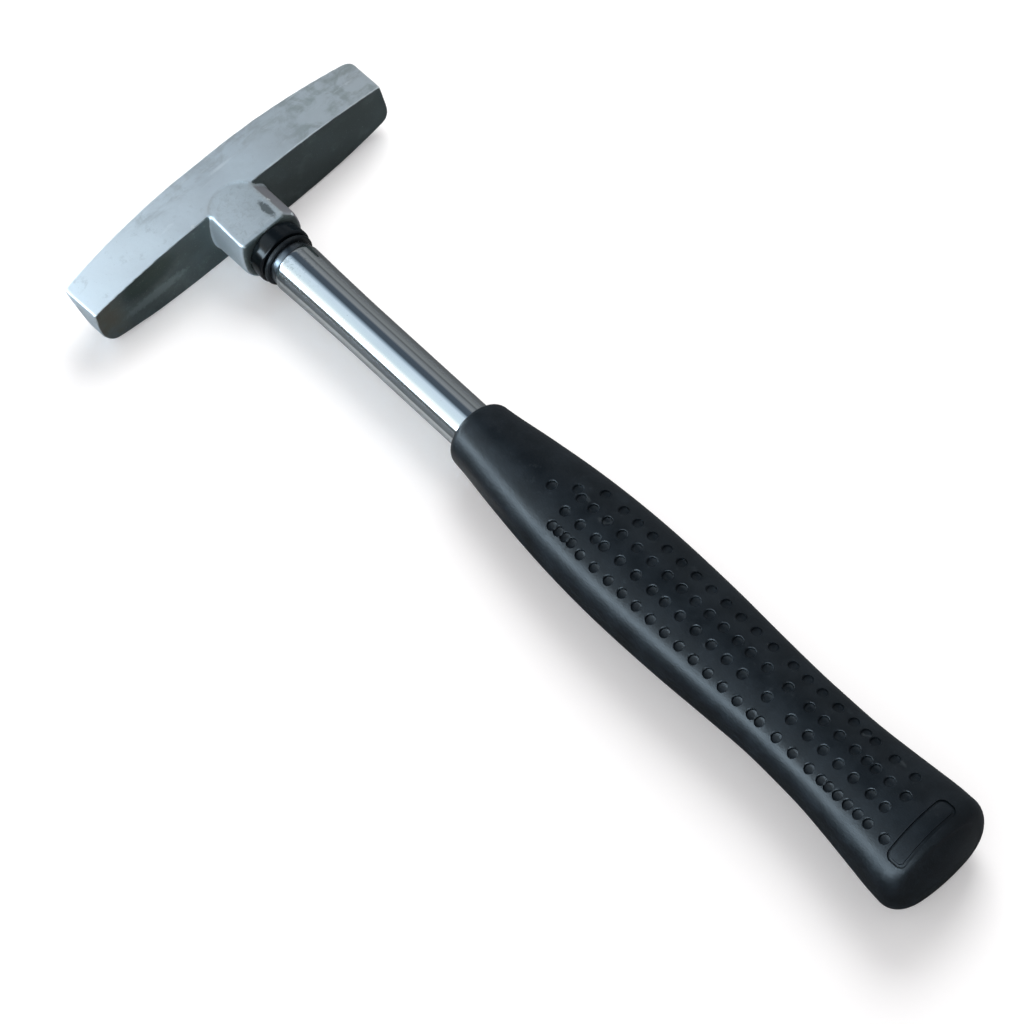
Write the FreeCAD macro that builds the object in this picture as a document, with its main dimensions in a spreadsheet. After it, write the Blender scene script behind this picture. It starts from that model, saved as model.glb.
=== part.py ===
# Tack hammer: a double ended steel head on a tubular steel handle with a rubber grip.
# Every piece is drawn with the handle's centre line on the X axis, the head's length along Y
# and the cheeks facing up and down, and then tipped a little so that head and grip both rest on the ground.
import FreeCAD, Part
import Sketcher
import math
import os

doc = FreeCAD.newDocument("TackHammer")
sheet = doc.addObject("Spreadsheet::Sheet", "Sizes")

sizes = [
    # head
    ("headLength", 113.0, "from one striking face to the other"),
    ("eyeWidth", 18.1, "head across at the eye, along the handle"),
    ("endWidth", 14.6, "head across at a striking face, along the handle"),
    ("eyeThick", 22.4, "head from cheek to cheek at the eye"),
    ("endThick", 15.2, "head from cheek to cheek at a striking face"),
    ("eyeFlat", 18.0, "length of the flat middle of each cheek"),
    ("handleSide", 4.9, "handle side of the head, from the head's centre line"),
    ("headShift", 0.7, "middle of the head to the right of the handle's centre line"),
    ("faceCorner", 3.0, "rounding of the two upright corners away from the handle"),
    ("faceRelief", 3.5, "rounding under each striking face"),
    ("cornerBreak", 1.0, "rounding of the upright corners beside the handle"),
    # boss
    ("bossReach", 16.1, "boss beyond the handle side of the head"),
    ("bossWidth", 22.2, "boss across its rounded flanks"),
    ("bossFlatWidth", 16.4, "flat on top of the boss at its mouth"),
    ("bossRootFlat", 15.3, "flat on top of the boss at the head"),
    ("bossRootDrop", 0.2, "flat at the head below the cheek"),
    ("bossFlatDrop", 0.8, "flat at the mouth below the cheek"),
    ("bossRoot", 4.0, "boss carried on into the head"),
    ("bossShift", 0.2, "middle of the boss to the left of the handle's centre line"),
    ("flatShift", 1.3, "middle of its flat further to the left"),
    ("shoulderHeight", 6.7, "height at which the right flank turns in to the flat"),
    ("shoulderIn", 0.8, "lean of the right flank up to there"),
    ("mouthBevel", 1.2, "worn bevel round the boss's mouth, along the handle"),
    ("mouthBreak", 0.9, "the same bevel, towards the handle"),
    # handle tube
    ("tubeRadius", 7.5, "outside of the straight tube"),
    ("tubeWall", 1.2, "wall of the tube"),
    ("spigotRadius", 6.9, "outside of the drawn down end in the eye"),
    ("shoulderRadius", 8.05, "swell where the tube leaves the neck"),
    ("spigotFree", 7.2, "bare drawn down neck beyond the boss's mouth"),
    ("shoulderRise", 3.6, "cone from the neck up to the swell"),
    ("swellLength", 20.0, "length in which the swell fades into the tube"),
    ("tubeLength", 254.0, "bare and covered tube from the swell to its end"),
    ("topRecess", 0.7, "tube end below the back of the head"),
    # neck bush and ring
    ("bushFlangeRadius", 9.35, "black flange against the boss"),
    ("bushFlangeLength", 5.3, "thickness of that flange"),
    ("bushSpigotRadius", 8.1, "sleeve in the boss's mouth"),
    ("bushSpigotLength", 8.0, "depth of that sleeve"),
    ("bushEdge", 0.9, "rounding of the flange"),
    ("ringRadius", 8.75, "outside of the thin ring"),
    ("ringLength", 1.3, "thickness of the thin ring"),
    ("ringGap", 0.7, "strip of bare tube between bush and ring"),
    # plugs
    ("eyePlugLength", 21.0, "steel plug that keeps the tube spread in the eye"),
    ("plugEdge", 0.8, "bevel on the plugs"),
    ("endPlugStem", 16.0, "plastic plug inside the tube's lower end"),
    ("endPlugFlange", 3.0, "its flange over the tube's rim"),
    # grip
    ("gripLength", 197.2, "rubber sleeve from nose to butt"),
    ("gripCover", 171.6, "tube inside the grip"),
    ("noseWidth", 21.6, "grip across at the nose"),
    ("bellyWidth", 33.3, "grip across at the belly"),
    ("waistWidth", 29.8, "grip across at the waist"),
    ("buttWidth", 37.1, "grip across at the butt"),
    ("buttLean", 1.4, "middle of the butt to the left of the handle's centre line"),
    ("noseRound", 3.2, "rounding of the nose"),
    ("buttRound", 5.3, "rounding of the butt"),
    ("buttDome", 2.4, "crown of the butt's end face"),
    # fits
    ("fitClearance", 0.05, "radial room between pieces that seat in each other"),
    ("cutOverrun", 3.0, "how far cuts run past what they cut"),
]
for row, (name, value, note) in enumerate(sizes, 1):
    sheet.set("A%d" % row, name)
    sheet.set("B%d" % row, str(value))
    sheet.setAlias("B%d" % row, name)
    sheet.set("C%d" % row, note)
doc.recompute()


class Measure:
    # A length that knows both its value and the formula that binds it to the sheet
    def __init__(self, formula, value):
        self.formula = formula
        self.value = value

    def combine(self, other, sign, result, swapped=False):
        left, right = (other, self) if swapped else (self, other)
        texts = [side.formula if isinstance(side, Measure) else str(side) for side in (left, right)]
        return Measure("(%s %s %s)" % (texts[0], sign, texts[1]), result)

    def __add__(self, other):
        return self.combine(other, "+", self.value + plain(other))

    def __radd__(self, other):
        return self.combine(other, "+", plain(other) + self.value, swapped=True)

    def __sub__(self, other):
        return self.combine(other, "-", self.value - plain(other))

    def __rsub__(self, other):
        return self.combine(other, "-", plain(other) - self.value, swapped=True)

    def __mul__(self, other):
        return self.combine(other, "*", self.value * plain(other))

    def __rmul__(self, other):
        return self.combine(other, "*", plain(other) * self.value, swapped=True)

    def __truediv__(self, other):
        return self.combine(other, "/", self.value / plain(other))

    def __neg__(self):
        return Measure("(-%s)" % self.formula, -self.value)


def plain(number):
    return number.value if isinstance(number, Measure) else number


def squared(length):
    return length * length


def squareRoot(number):
    return Measure("sqrt(%s)" % number.formula, math.sqrt(number.value))


def arcRadius(run, rise):
    # Radius of an arc that leaves a straight line and rises by this much over this run
    return (squared(run) + squared(rise)) / (2 * rise)


size = {name: Measure("Sizes.%s" % name, value) for name, value, note in sizes}
zero = Measure("0", 0.0)


def originPlane(body, role):
    return [feature for feature in body.Origin.OriginFeatures if feature.Role == role][0]


def newSketch(body, name, role, offset=zero):
    sketch = body.newObject("Sketcher::SketchObject", name)
    sketch.AttachmentSupport = (originPlane(body, role), [""])
    sketch.MapMode = "FlatFace"
    if offset is not zero:
        sketch.setExpression("AttachmentOffset.Base.z", offset.formula)
    return sketch


def pinDown(sketch, kind, geometry, point, length):
    # Holds one coordinate of a point at a measured distance from the sketch's origin
    if plain(length) == 0:
        axis = -2 if kind == "DistanceX" else -1
        sketch.addConstraint(Sketcher.Constraint("PointOnObject", geometry, point, axis))
        return
    if length.value > 0:
        ends = (-1, 1, geometry, point)
        reach = length
    else:
        ends = (geometry, point, -1, 1)
        reach = -length
    index = sketch.addConstraint(Sketcher.Constraint(kind, *ends, reach.value))
    sketch.setExpression("Constraints[%d]" % index, reach.formula)


def addOutline(sketch, corners):
    # Closed outline: each corner is (x, y) or (x, y, bend), where bend is the radius of the arc
    # that leads on to the next corner, negative when that arc turns to the right
    first = sketch.GeometryCount
    count = len(corners)
    for number, corner in enumerate(corners):
        nextCorner = corners[(number + 1) % count]
        start = FreeCAD.Vector(plain(corner[0]), plain(corner[1]), 0)
        end = FreeCAD.Vector(plain(nextCorner[0]), plain(nextCorner[1]), 0)
        if len(corner) == 2:
            sketch.addGeometry(Part.LineSegment(start, end), False)
            continue
        bend = corner[2]
        chord = end - start
        side = FreeCAD.Vector(-chord.y, chord.x, 0).normalize()
        turn = 1 if bend.value > 0 else -1
        depth = math.sqrt(max(bend.value ** 2 - chord.Length ** 2 / 4, 0))
        centre = (start + end) / 2 + side * turn * depth
        bulge = centre - side * turn * abs(bend.value)
        sketch.addGeometry(Part.Arc(start, bulge, end), False)
    for number, corner in enumerate(corners):
        geometry = first + number
        following = first + (number + 1) % count
        # an arc is always kept anticlockwise, so one that turns right starts at its second point
        startPoint = 1 if len(corner) == 2 or corner[2].value > 0 else 2
        nextCorner = corners[(number + 1) % count]
        nextStart = 1 if len(nextCorner) == 2 or nextCorner[2].value > 0 else 2
        endPoint = 2 if startPoint == 1 else 1
        sketch.addConstraint(Sketcher.Constraint("Coincident", geometry, endPoint, following, nextStart))
        pinDown(sketch, "DistanceX", geometry, startPoint, corner[0])
        pinDown(sketch, "DistanceY", geometry, startPoint, corner[1])
        if len(corner) == 3:
            radius = corner[2] if corner[2].value > 0 else -corner[2]
            index = sketch.addConstraint(Sketcher.Constraint("Radius", geometry, radius.value))
            sketch.setExpression("Constraints[%d]" % index, radius.formula)


def addCircle(sketch, radius):
    circle = sketch.addGeometry(Part.Circle(FreeCAD.Vector(), FreeCAD.Vector(0, 0, 1), radius.value), False)
    sketch.addConstraint(Sketcher.Constraint("Coincident", circle, 3, -1, 1))
    index = sketch.addConstraint(Sketcher.Constraint("Radius", circle, radius.value))
    sketch.setExpression("Constraints[%d]" % index, radius.formula)


def pad(body, sketch, length, middle=False):
    feature = body.newObject("PartDesign::Pad", sketch.Name + "Pad")
    feature.Profile = sketch
    feature.SideType = "Symmetric" if middle else "One side"
    feature.setExpression("Length", length.formula)
    return feature


def pocket(body, sketch, length, middle=False, reverse=False):
    feature = body.newObject("PartDesign::Pocket", sketch.Name + "Pocket")
    feature.Profile = sketch
    feature.SideType = "Symmetric" if middle else "One side"
    feature.Reversed = reverse
    feature.setExpression("Length", length.formula)
    return feature


def loft(body, sketches, ruled=False):
    feature = body.newObject("PartDesign::AdditiveLoft", sketches[0].Name + "Loft")
    feature.Profile = sketches[0]
    feature.Sections = sketches[1:]
    feature.Ruled = ruled
    return feature


def turned(body, name, corners):
    # A round piece turned about the handle's centre line, from corners given as (place, radius)
    sketch = newSketch(body, name, "XZ_Plane")
    addOutline(sketch, corners)
    feature = body.newObject("PartDesign::Revolution", name + "Revolution")
    feature.Profile = sketch
    feature.ReferenceAxis = (sketch, ["H_Axis"])
    feature.Angle = 360
    return feature


def newBody(label):
    body = doc.addObject("PartDesign::Body", label)
    body.Label = label
    return body


# Places along the handle, from the head's centre line
backOfEye = size["handleSide"] - size["eyeWidth"]
mouth = size["handleSide"] + size["bossReach"]
neckEnd = mouth + size["spigotFree"]
swell = neckEnd + size["shoulderRise"]
swellEnd = swell + size["swellLength"]
tubeTop = backOfEye + size["topRecess"]
tubeEnd = swell + size["tubeLength"]
gripStart = tubeEnd - size["gripCover"]
gripEnd = gripStart + size["gripLength"]
buttEdge = gripEnd - size["buttDome"] - size["buttRound"]
halfLength = size["headLength"] / 2
rightFace = size["headShift"] + halfLength
leftFace = size["headShift"] - halfLength
halfEye = size["eyeThick"] / 2
halfEnd = size["endThick"] / 2


def rolledEnd(start, end, rise, roll):
    # A bow that leaves a straight line at the start and has risen so far at the end, where it rolls
    # round into an end face: the bow's radius, where the roll begins, its rise there, and the rise
    # at which it meets the face
    bow = arcRadius(end - start, rise)
    sine = (end - start) / bow
    foot = end - roll * (1 - sine)
    footRise = bow - squareRoot(squared(bow) - squared(foot - start))
    faceRise = rise + roll * (1 - sine) / squareRoot(1 - squared(sine))
    return bow, foot, footRise, faceRise


def makeHead():
    body = newBody("head")
    shift = size["headShift"]
    plan = newSketch(body, "HeadPlan", "XY_Plane")
    backRise = size["eyeWidth"] - size["endWidth"]
    backBow, foot, footRise, faceRise = rolledEnd(zero, halfLength, backRise, size["faceCorner"])
    corner = size["cornerBreak"]
    addOutline(plan, [
        (size["handleSide"], leftFace + corner),
        (size["handleSide"], rightFace - corner, corner),
        (size["handleSide"] - corner, rightFace),
        (backOfEye + faceRise, rightFace, size["faceCorner"]),
        (backOfEye + footRise, shift + foot, backBow),
        (backOfEye + footRise, shift - foot, size["faceCorner"]),
        (backOfEye + faceRise, leftFace),
        (size["handleSide"] - corner, leftFace, corner),
    ])
    pad(body, plan, size["eyeThick"], middle=True)

    # cheeks: flat over the eye, then bowed down to the striking faces, and rolled round below each face
    cheeks = newSketch(body, "CheekCuts", "YZ_Plane")
    cheekFlat = size["eyeFlat"] / 2
    bow, foot, footRise, faceRise = rolledEnd(cheekFlat, halfLength, halfEye - halfEnd, size["faceRelief"])
    for sideways in (1, -1):
        flatEnd = shift + cheekFlat * sideways
        face = shift + halfLength * sideways
        outside = shift + (halfLength + size["cutOverrun"]) * sideways
        above = halfEye + size["cutOverrun"]
        addOutline(cheeks, [
            (flatEnd, halfEye, bow * -sideways),
            (face, halfEnd),
            (outside, halfEnd),
            (outside, above),
            (flatEnd, above),
        ])
        addOutline(cheeks, [
            (flatEnd, -halfEye, bow * sideways),
            (shift + foot * sideways, footRise - halfEye, size["faceRelief"] * sideways),
            (face, faceRise - halfEye),
            (outside, faceRise - halfEye),
            (outside, -above),
            (flatEnd, -above),
        ])
    pocket(body, cheeks, 4 * size["eyeWidth"], middle=True)

    # boss: round below, with a flat on top that widens and sinks towards the mouth, and a bevelled mouth;
    # the left flank runs up to the flat, and the right one turns in at a shoulder
    sections = []
    wear = size["mouthBreak"]
    mouthTop = halfEye - size["bossFlatDrop"]
    mouthFlat = size["bossFlatWidth"] / 2
    fullHalf = size["bossWidth"] / 2
    places = (
        ("BossRoot", size["handleSide"] - size["bossRoot"], size["bossRootFlat"] / 2,
         halfEye - size["bossRootDrop"], fullHalf),
        ("BossBevel", mouth - size["mouthBevel"], mouthFlat, mouthTop, fullHalf),
        ("BossMouth", mouth, mouthFlat - wear, mouthTop - wear, fullHalf - wear),
    )
    bossMiddle = -size["bossShift"]
    flatMiddle = bossMiddle - size["flatShift"]
    shoulder = size["shoulderHeight"]
    for name, place, halfFlat, top, half in places:
        section = newSketch(body, name, "YZ_Plane", place)
        flatLeft = flatMiddle - halfFlat
        leftSide = bossMiddle - half
        rightSide = bossMiddle + half
        addOutline(section, [
            (flatMiddle + halfFlat, top),
            (flatLeft, top, arcRadius(top, flatLeft - leftSide)),
            (leftSide, zero, half),
            (bossMiddle, -half, half),
            (rightSide, zero, arcRadius(shoulder, size["shoulderIn"])),
            (rightSide - size["shoulderIn"], shoulder),
        ])
        sections.append(section)
    loft(body, sections, ruled=True)

    # eye right through the head, opened out at the mouth for the bush
    eye = newSketch(body, "Eye", "YZ_Plane")
    addCircle(eye, size["spigotRadius"] + size["fitClearance"])
    pocket(body, eye, 4 * (size["eyeWidth"] + size["bossReach"]), middle=True)
    seat = newSketch(body, "BushSeat", "YZ_Plane", mouth)
    addCircle(seat, size["bushSpigotRadius"] + size["fitClearance"])
    pocket(body, seat, size["bushSpigotLength"])
    return body


def makeHandleTube():
    body = newBody("handle_tube")
    outer = size["tubeRadius"]
    wall = size["tubeWall"]
    turned(body, "TubeProfile", [
        (tubeTop, size["spigotRadius"] - wall),
        (neckEnd, size["spigotRadius"] - wall),
        (swell, size["shoulderRadius"] - wall),
        (swellEnd, outer - wall),
        (tubeEnd, outer - wall),
        (tubeEnd, outer),
        (swellEnd, outer),
        (swell, size["shoulderRadius"]),
        (neckEnd, size["spigotRadius"]),
        (tubeTop, size["spigotRadius"]),
    ])
    return body


def makeNeckBush():
    body = newBody("neck_bush")
    inner = size["spigotRadius"] + size["fitClearance"]
    edge = size["bushEdge"]
    flangeEnd = mouth + size["bushFlangeLength"]
    turned(body, "BushProfile", [
        (mouth - size["bushSpigotLength"], inner),
        (flangeEnd, inner),
        (flangeEnd, size["bushFlangeRadius"] - edge, edge),
        (flangeEnd - edge, size["bushFlangeRadius"]),
        (mouth, size["bushFlangeRadius"]),
        (mouth, size["bushSpigotRadius"]),
        (mouth - size["bushSpigotLength"], size["bushSpigotRadius"]),
    ])
    return body


def makeNeckRing():
    body = newBody("neck_ring")
    start = mouth + size["bushFlangeLength"] + size["ringGap"]
    end = start + size["ringLength"]
    inner = size["spigotRadius"] + size["fitClearance"]
    crown = size["ringLength"] / 2
    turned(body, "RingProfile", [
        (start, inner),
        (end, inner),
        (end, size["ringRadius"] - crown, crown),
        (start + crown, size["ringRadius"], crown),
        (start, size["ringRadius"] - crown),
    ])
    return body


def makeEyePlug():
    body = newBody("eye_plug")
    radius = size["spigotRadius"] - size["tubeWall"] - size["fitClearance"]
    edge = size["plugEdge"]
    end = tubeTop + size["eyePlugLength"]
    turned(body, "EyePlugProfile", [
        (tubeTop, zero),
        (end, zero),
        (end, radius - edge),
        (end - edge, radius),
        (tubeTop, radius),
    ])
    return body


def makeTubeEndPlug():
    body = newBody("tube_end_plug")
    stem = size["tubeRadius"] - size["tubeWall"] - size["fitClearance"]
    edge = size["plugEdge"]
    flangeEnd = tubeEnd + size["endPlugFlange"]
    turned(body, "EndPlugProfile", [
        (tubeEnd - size["endPlugStem"], zero),
        (flangeEnd, zero),
        (flangeEnd, size["tubeRadius"] - edge),
        (flangeEnd - edge, size["tubeRadius"]),
        (tubeEnd, size["tubeRadius"]),
        (tubeEnd, stem),
        (tubeEnd - size["endPlugStem"] + edge, stem),
        (tubeEnd - size["endPlugStem"], stem - edge),
    ])
    return body


# Outline of the grip's section in shares of its width: the point where flank meets corner, the point
# where corner meets top, and the radii of flank, corner and top; round at the nose and flatter behind it
roundOutlineShares = (0.476, 0.155, 0.280, 0.414, 0.500, 0.500, 0.500)
flatOutlineShares = (0.476, 0.153, 0.251, 0.366, 0.500, 0.332, 0.889)

# Sections of the grip: how far along it, between which two widths, how far from the first to the second,
# how far from the round outline to the flat one, and how much of the butt's lean it has
gripShares = [
    (0.000, "noseWidth", "bellyWidth", 0.00, 0.00, 0.0),
    (0.027, "noseWidth", "bellyWidth", 0.09, 0.12, 0.0),
    (0.097, "noseWidth", "bellyWidth", 0.39, 0.44, 0.0),
    (0.200, "noseWidth", "bellyWidth", 0.75, 0.84, 0.0),
    (0.300, "noseWidth", "bellyWidth", 0.95, 1.00, 0.0),
    (0.390, "noseWidth", "bellyWidth", 1.00, 1.00, 0.0),
    (0.500, "bellyWidth", "waistWidth", 0.21, 1.00, 0.0),
    (0.600, "bellyWidth", "waistWidth", 0.68, 1.00, 0.0),
    (0.686, "bellyWidth", "waistWidth", 1.00, 1.00, 0.0),
    (0.750, "waistWidth", "buttWidth", 0.03, 1.00, 0.13),
    (0.810, "waistWidth", "buttWidth", 0.13, 1.00, 0.30),
    (0.870, "waistWidth", "buttWidth", 0.39, 1.00, 0.50),
    (0.930, "waistWidth", "buttWidth", 0.71, 1.00, 0.72),
    (0.970, "waistWidth", "buttWidth", 0.92, 1.00, 0.88),
    (1.000, "waistWidth", "buttWidth", 1.00, 1.00, 1.00),
]
# The rounded ends are stepped round in this many equal turns
endTurns = 4
# The domed face of the butt is stepped in at these shares of its width
domeShares = (0.75, 0.50, 0.25)


def gripOutline(width, flatness, middle):
    blend = [soft + (flat - soft) * flatness for soft, flat in zip(roundOutlineShares, flatOutlineShares)]
    flankY, flankZ, topY, topZ, flankBend, cornerBend, topBend = [width * share for share in blend]
    return [
        (middle + flankY, -flankZ, flankBend),
        (middle + flankY, flankZ, cornerBend),
        (middle + topY, topZ, topBend),
        (middle - topY, topZ, cornerBend),
        (middle - flankY, flankZ, flankBend),
        (middle - flankY, -flankZ, cornerBend),
        (middle - topY, -topZ, topBend),
        (middle + topY, -topZ, cornerBend),
    ]


def gripSection(body, name, place, width, flatness, lean):
    section = newSketch(body, name, "YZ_Plane", place)
    addOutline(section, gripOutline(width, flatness, size["buttLean"] * -lean))
    return section


def gripEndCap(body, name, edgePlace, outward, roll, dome, width, flatness, lean):
    # Rolls the grip's edge over from its full section to its end, which may be domed
    sections = []
    for turn in range(endTurns + 1):
        angle = math.radians(90 * turn / endTurns)
        place = edgePlace + roll * (outward * math.sin(angle))
        narrow = width - roll * (2 - 2 * math.cos(angle))
        sections.append(gripSection(body, "%s%d" % (name, turn), place, narrow, flatness, lean))
    if dome is not zero:
        faceWidth = width - roll * 2
        for step, share in enumerate(domeShares):
            place = edgePlace + (roll + dome * (1 - share ** 2)) * outward
            sections.append(gripSection(body, "%sDome%d" % (name, step), place, faceWidth * share, flatness, lean))
    loft(body, sections, ruled=True)


def makeGrip():
    body = newBody("grip")
    start = gripStart + size["noseRound"]
    sections = []
    for number, (alongShare, fromName, toName, widthShare, flatness, lean) in enumerate(gripShares):
        place = start + (buttEdge - start) * alongShare
        width = size[fromName] + (size[toName] - size[fromName]) * widthShare
        sections.append(gripSection(body, "GripSection%d" % number, place, width, flatness, lean))
    loft(body, sections)
    gripEndCap(body, "NoseTurn", start, -1, size["noseRound"], zero, size["noseWidth"], *gripShares[0][4:])
    gripEndCap(body, "ButtTurn", buttEdge, 1, size["buttRound"], size["buttDome"], size["buttWidth"],
               *gripShares[-1][4:])
    bore = newSketch(body, "GripBore", "YZ_Plane", gripStart)
    addCircle(bore, size["tubeRadius"] + size["fitClearance"])
    pocket(body, bore, size["gripCover"] + size["endPlugFlange"], reverse=True)
    return body


bodies = [
    makeHead(),
    makeHandleTube(),
    makeNeckBush(),
    makeNeckRing(),
    makeEyePlug(),
    makeTubeEndPlug(),
    makeGrip(),
]

# The hammer lies on its side: the back of the eye and the flare of the butt touch the ground,
# and the origin is on the ground under the middle of the whole length and of the head
topHalfShare, topShare, topBendShare = flatOutlineShares[2], flatOutlineShares[3], flatOutlineShares[6]
depthShare = topShare + topBendShare - math.sqrt(topBendShare ** 2 - topHalfShare ** 2)
buttDepth = size["buttWidth"] * depthShare
restRise = buttDepth - halfEye
restRun = buttEdge - backOfEye
middle = (backOfEye + gripEnd) / 2
restTilt = "atan(%s / %s)" % (restRise.formula, restRun.formula)
lift = "(%s * cos(%s) - %s * sin(%s))" % (halfEye.formula, restTilt, backOfEye.formula, restTilt)
for body in bodies:
    body.setExpression("Placement", "placement(vector(-%s; -%s; %s); rotation(vector(0; 1; 0); -%s))" % (
        middle.formula, size["headShift"].formula, lift, restTilt))

doc.recompute()
for item in doc.Objects:
    if "Invalid" in item.State or "Error" in item.State:
        raise RuntimeError("%s failed: %s" % (item.Label, item.State))
for body in bodies:
    if body.Shape.isNull() or not body.Shape.isValid() or len(body.Shape.Solids) != 1:
        raise RuntimeError("%s is not one sound solid" % body.Label)

os.makedirs("parts", exist_ok=True)
for body in bodies:
    body.Shape.exportStep("parts/%s.step" % body.Label)
    box = body.Shape.optimalBoundingBox()
    print("%s: %.0f mm3, x %.2f to %.2f, y %.2f to %.2f, z %.2f to %.2f" % (
        body.Label, body.Shape.Volume, box.XMin, box.XMax, box.YMin, box.YMax, box.ZMin, box.ZMax))
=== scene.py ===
# Tack hammer: the shaped and finished pieces, the floor, the lights and the camera
import bpy
import bmesh
import math
from mathutils import Matrix, Vector
from mathutils.kdtree import KDTree


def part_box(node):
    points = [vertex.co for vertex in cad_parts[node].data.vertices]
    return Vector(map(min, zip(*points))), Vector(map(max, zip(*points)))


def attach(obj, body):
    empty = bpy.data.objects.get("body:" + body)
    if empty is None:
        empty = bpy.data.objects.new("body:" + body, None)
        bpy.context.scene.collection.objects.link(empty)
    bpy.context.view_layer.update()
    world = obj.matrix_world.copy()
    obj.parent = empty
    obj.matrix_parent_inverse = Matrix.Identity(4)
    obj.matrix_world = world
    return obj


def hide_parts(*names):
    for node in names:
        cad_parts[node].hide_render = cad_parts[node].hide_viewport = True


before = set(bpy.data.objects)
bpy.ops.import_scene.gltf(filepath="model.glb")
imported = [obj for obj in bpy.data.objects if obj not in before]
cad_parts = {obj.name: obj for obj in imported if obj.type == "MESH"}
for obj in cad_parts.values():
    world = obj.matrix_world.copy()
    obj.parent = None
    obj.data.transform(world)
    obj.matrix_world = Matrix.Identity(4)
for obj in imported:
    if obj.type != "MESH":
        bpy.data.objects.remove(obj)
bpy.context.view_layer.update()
print("frame loaded:", ", ".join(sorted(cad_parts)))

mm = 0.001
weld = 0.0005                   # points nearer to each other than this become one, in millimetres
touch = 0.01                    # a point nearer to a plane than this lies on it
overcut = 5                     # how far a cutter stands out of what it cuts
rimDepth = 0.4                  # how far from its end a point of the tube belongs to the rim
tubeTopPlace = -12.5            # the tube's top, from the eye's middle


# Every new piece is shaped in millimetres with the handle along X, the head along Y and the eye's middle
# at zero, and is then laid down where the frame's own tube lies
def rimCentre(end):
    rim = [v.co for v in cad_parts["handle_tube"].data.vertices if abs(v.co.x - end) < rimDepth * mm]
    return Vector([(min(side) + max(side)) / 2 for side in zip(*rim)])


tubeLow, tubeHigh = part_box("handle_tube")
tubeTop, tubeFoot = rimCentre(tubeLow[0]), rimCentre(tubeHigh[0])
axis = (tubeFoot - tubeTop).normalized()
lay = Matrix.Translation(tubeTop - axis * tubeTopPlace * mm) @ Matrix.Rotation(-math.asin(axis.z), 4, "Y")
layInMillimetres = lay @ Matrix.Scale(mm, 4)


def activate(piece):
    bpy.ops.object.select_all(action="DESELECT")
    piece.select_set(True)
    bpy.context.view_layer.objects.active = piece


def named(name):
    # Names the new primitive and puts its place and size into its mesh
    piece = bpy.context.object
    piece.name = name
    piece.data.name = name
    bpy.ops.object.transform_apply(location=True, rotation=True, scale=True)
    return piece


def edit(piece, kind="VERT"):
    activate(piece)
    bpy.ops.object.mode_set(mode="EDIT")
    bpy.ops.mesh.select_mode(type=kind)
    bpy.ops.mesh.select_all(action="SELECT")


def finishEdit():
    bpy.ops.object.mode_set(mode="OBJECT")


def choose(test, kind="verts"):
    # Selects the vertices, edges or faces for whose corners the test is true
    bpy.ops.mesh.select_all(action="DESELECT")
    shape = bmesh.from_edit_mesh(bpy.context.edit_object.data)
    for part in getattr(shape, kind):
        corners = [part.co] if kind == "verts" else [corner.co for corner in part.verts]
        part.select_set(all(test(corner) for corner in corners))
    shape.select_flush_mode()
    bmesh.update_edit_mesh(bpy.context.edit_object.data)


def modify(piece, kind, **settings):
    activate(piece)
    modifier = piece.modifiers.new(kind, kind)
    for name, setting in settings.items():
        setattr(modifier, name, setting)
    bpy.ops.object.modifier_apply(modifier=modifier.name)


def cut(piece, tool, operation="DIFFERENCE", solver="MANIFOLD"):
    modify(piece, "BOOLEAN", operation=operation, object=tool, solver=solver)
    bpy.data.objects.remove(tool)


def closeUp():
    bpy.ops.mesh.select_all(action="SELECT")
    bpy.ops.mesh.remove_doubles(threshold=weld)
    bpy.ops.mesh.normals_make_consistent(inside=False)


def arc(start, end, radius, steps):
    # Points from the start towards the end along an arc that bulges to the right, the end left out
    start, end = Vector(start), Vector(end)
    chord = end - start
    depth = math.sqrt(max(radius * radius - chord.length_squared / 4, 0))
    centre = (start + end) / 2 + Vector((-chord.y, chord.x)).normalized() * depth
    first = math.atan2(*(start - centre).yx)
    last = math.atan2(*(end - centre).yx)
    if last < first:
        last += 2 * math.pi
    angles = [first + (last - first) * step / steps for step in range(steps)]
    return [centre + radius * Vector((math.cos(angle), math.sin(angle))) for angle in angles]


def sleeve(name, rings):
    # Wraps a grid round a row of outlines and closes it at both ends
    bpy.ops.mesh.primitive_grid_add(x_subdivisions=len(rings[0]), y_subdivisions=len(rings) - 1, size=1)
    piece = named(name)
    places = [place for ring in rings for place in ring + ring[:1]]
    for vertex, place in zip(piece.data.vertices, places):
        vertex.co = place
    edit(piece)
    bpy.ops.mesh.remove_doubles(threshold=weld)
    bpy.ops.mesh.select_mode(type="EDGE")
    bpy.ops.mesh.select_all(action="DESELECT")
    bpy.ops.mesh.select_non_manifold(extend=False, use_wire=False, use_boundary=True, use_multi_face=False,
                                     use_non_contiguous=False, use_verts=False)
    bpy.ops.mesh.edge_face_add()
    bpy.ops.mesh.select_all(action="SELECT")
    bpy.ops.mesh.normals_make_consistent(inside=False)
    finishEdit()
    return piece


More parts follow.
